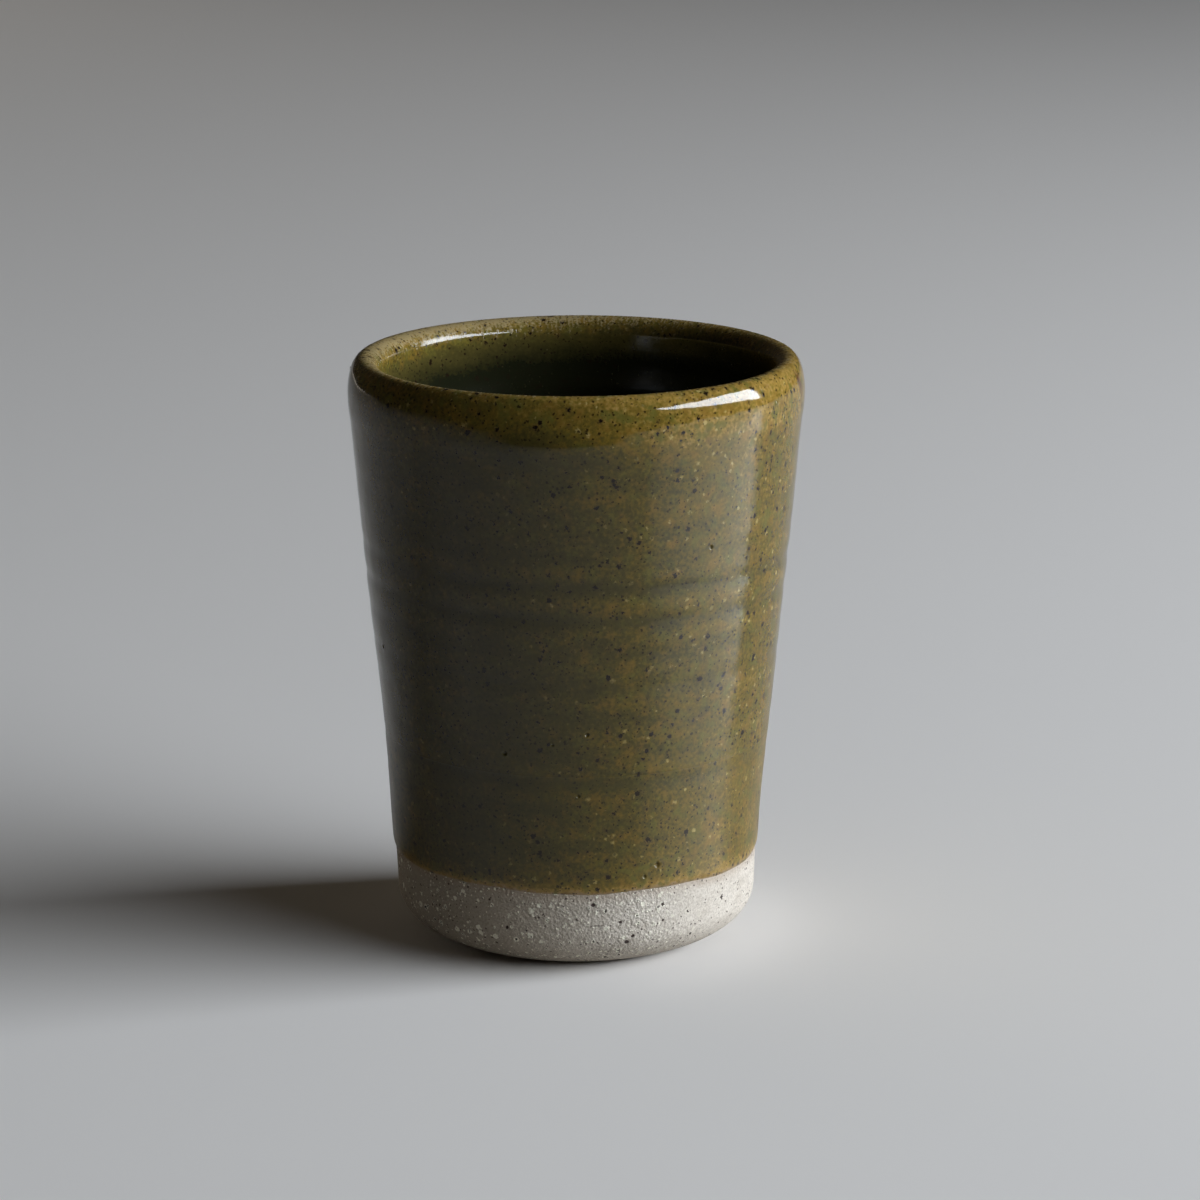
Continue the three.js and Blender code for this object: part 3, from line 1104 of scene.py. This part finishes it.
class BEERCUP_OT_liner_glaze(bpy.types.Operator):
    """Pour the liner glaze over the inner wall and the floor"""

    bl_idname = "beer_cup.liner_glaze"
    bl_label = "Liner glaze"

    def execute(self, context):
        outline = Outline(context.scene.cup_sizes)
        low = outline.inside(INNER_SEAM)
        along = gathered(low, outline.end, 0.7 * MM, [low], 0.12 * MM, 0.6 * MM)
        grid = Grid(outline, along, even_columns(420))
        lay_coat(context, "poured_liner", "liner_glaze", grid, 30, to_axis=True)
        return {"FINISHED"}


def add_camera(studio):
    """The camera, straight in front of the cup and tilted down."""
    data = bpy.data.cameras.new("camera")
    data.lens = studio.camera_lens
    data.shift_x = studio.camera_shift
    camera = add_object("camera", data)
    camera.location = (0, -studio.camera_distance, studio.camera_height)
    camera.rotation_euler = (math.pi / 2 - studio.camera_pitch, 0, 0)
    bpy.context.scene.camera = camera


def add_floor(studio, reach=8.0):
    """A plain floor that reaches so many metres each way. It looks pale to the camera and in reflections,
    and throws less light back."""
    material, tree, shader, _ = new_material("Pale floor")
    path = tree.nodes.new("ShaderNodeLightPath").outputs
    seen = largest(tree, path["Is Camera Ray"], path["Is Glossy Ray"], path["Is Transmission Ray"])
    shade = mix_colours(tree, seen, studio.floor_bounce, studio.floor)
    tree.links.new(shade, shader["Base Color"])
    tree.links.new(plus(tree, 0.3, path["Is Camera Ray"], 0.6), shader["Roughness"])
    mesh = bpy.data.meshes.new("floor")
    corners = [(-reach, -reach, 0), (reach, -reach, 0), (reach, reach, 0), (-reach, reach, 0)]
    mesh.from_pydata(corners, [], [(0, 1, 2, 3)])
    mesh.materials.append(material)
    add_object("floor", mesh)


def add_sky(studio):
    """Faint even light from all around."""
    world = bpy.data.worlds.new("Soft sky")
    world.use_nodes = True
    sky = world.node_tree.nodes["Background"].inputs
    sky["Color"].default_value = (*studio.sky, 1)
    sky["Strength"].default_value = studio.sky_strength
    bpy.context.scene.world = world


def add_lamp(studio, name, kind, place, away=None, **settings):
    """A lamp that the camera doesn't see, with the colour and the power that the studio gives for its name.
    It faces down, or away from a direction."""
    data = bpy.data.lights.new(name, kind)
    data.color, data.energy = getattr(studio, name), getattr(studio, f"{name}_power")
    for key, value in settings.items():
        setattr(data, key, value)
    lamp = add_object(name, data)
    lamp.location = place
    if away:
        lamp.rotation_euler = Vector(away).to_track_quat("Z", "Y").to_euler()
    lamp.visible_camera = False
    return lamp


def taper_lamp(lamp, taper, soft=0.06):
    """Cut a lamp's lower edge along a slope, from nothing at its back to a share of its height in front.
    The cut is soft over another share of the height."""
    lamp.data.use_nodes = True
    tree = lamp.data.node_tree
    across = parts_of(tree, tree.nodes.new("ShaderNodeNewGeometry").outputs["Parametric"])
    cut = plus(tree, taper, across["X"], -taper)
    inside = remap(tree, math_node(tree, "SUBTRACT", across["Y"], cut), 0.0, soft)
    tree.links.new(inside, tree.nodes["Emission"].inputs["Strength"])


class BEERCUP_OT_stage(bpy.types.Operator):
    """Set up the floor, the soft light and the camera"""

    bl_idname = "beer_cup.stage"
    bl_label = "Studio"

    def execute(self, context):
        studio = context.scene.cup_studio
        context.scene.view_settings.view_transform = "Standard"
        add_camera(studio)
        add_floor(studio)
        add_sky(studio)

        panel = {"shape": "RECTANGLE", "size": studio.fill_width, "size_y": studio.fill_rise}
        fill = add_lamp(studio, "fill", "AREA", studio.fill_place, tuple(studio.fill_place), **panel)
        fill.visible_glossy = False

        beam = 2 * math.atan(studio.top_beam / (studio.top_height - HEIGHT))
        cone = {"spot_size": beam, "spot_blend": 0.5, "shadow_soft_size": 3 * MM}
        top = add_lamp(studio, "top", "SPOT", (0, 0, studio.top_height), **cone)
        top.visible_glossy = False

        panel = {"shape": "RECTANGLE", "size": studio.key_width, "size_y": studio.key_rise}
        key = add_lamp(studio, "key", "AREA", studio.key_place, (1, 0, 0), **panel)
        taper_lamp(key, studio.key_taper)
        return {"FINISHED"}


class VIEW3D_PT_beer_cup(bpy.types.Panel):
    """The cup's pieces, and the sizes and colours they are made with"""

    bl_label = "Beer Cup"
    bl_space_type = "VIEW_3D"
    bl_region_type = "UI"
    bl_category = "Beer Cup"

    def draw(self, context):
        for operator in OPERATORS:
            self.layout.operator(operator.bl_idname)
        for name, kind in GROUPS.items():
            column = self.layout.column()
            for setting in kind.__annotations__:
                column.prop(getattr(context.scene, name), setting)


GROUPS = {"cup_sizes": CupSizes, "cup_colours": CupColours, "cup_studio": StudioSettings}
OPERATORS = (
    BEERCUP_OT_stage,
    BEERCUP_OT_clay,
    BEERCUP_OT_outer_glaze,
    BEERCUP_OT_lip_glaze,
    BEERCUP_OT_liner_glaze,
)
CLASSES = (*GROUPS.values(), *OPERATORS, VIEW3D_PT_beer_cup)


def register():
    for kind in CLASSES:
        bpy.utils.register_class(kind)
    for name, kind in GROUPS.items():
        setattr(bpy.types.Scene, name, PointerProperty(type=kind))


def unregister():
    for name in GROUPS:
        delattr(bpy.types.Scene, name)
    for kind in reversed(CLASSES):
        bpy.utils.unregister_class(kind)


def main():
    register()
    bpy.ops.beer_cup.stage()
    bpy.ops.beer_cup.clay()
    bpy.ops.beer_cup.outer_glaze()
    bpy.ops.beer_cup.lip_glaze()
    bpy.ops.beer_cup.liner_glaze()


if __name__ == "__main__":
    main()
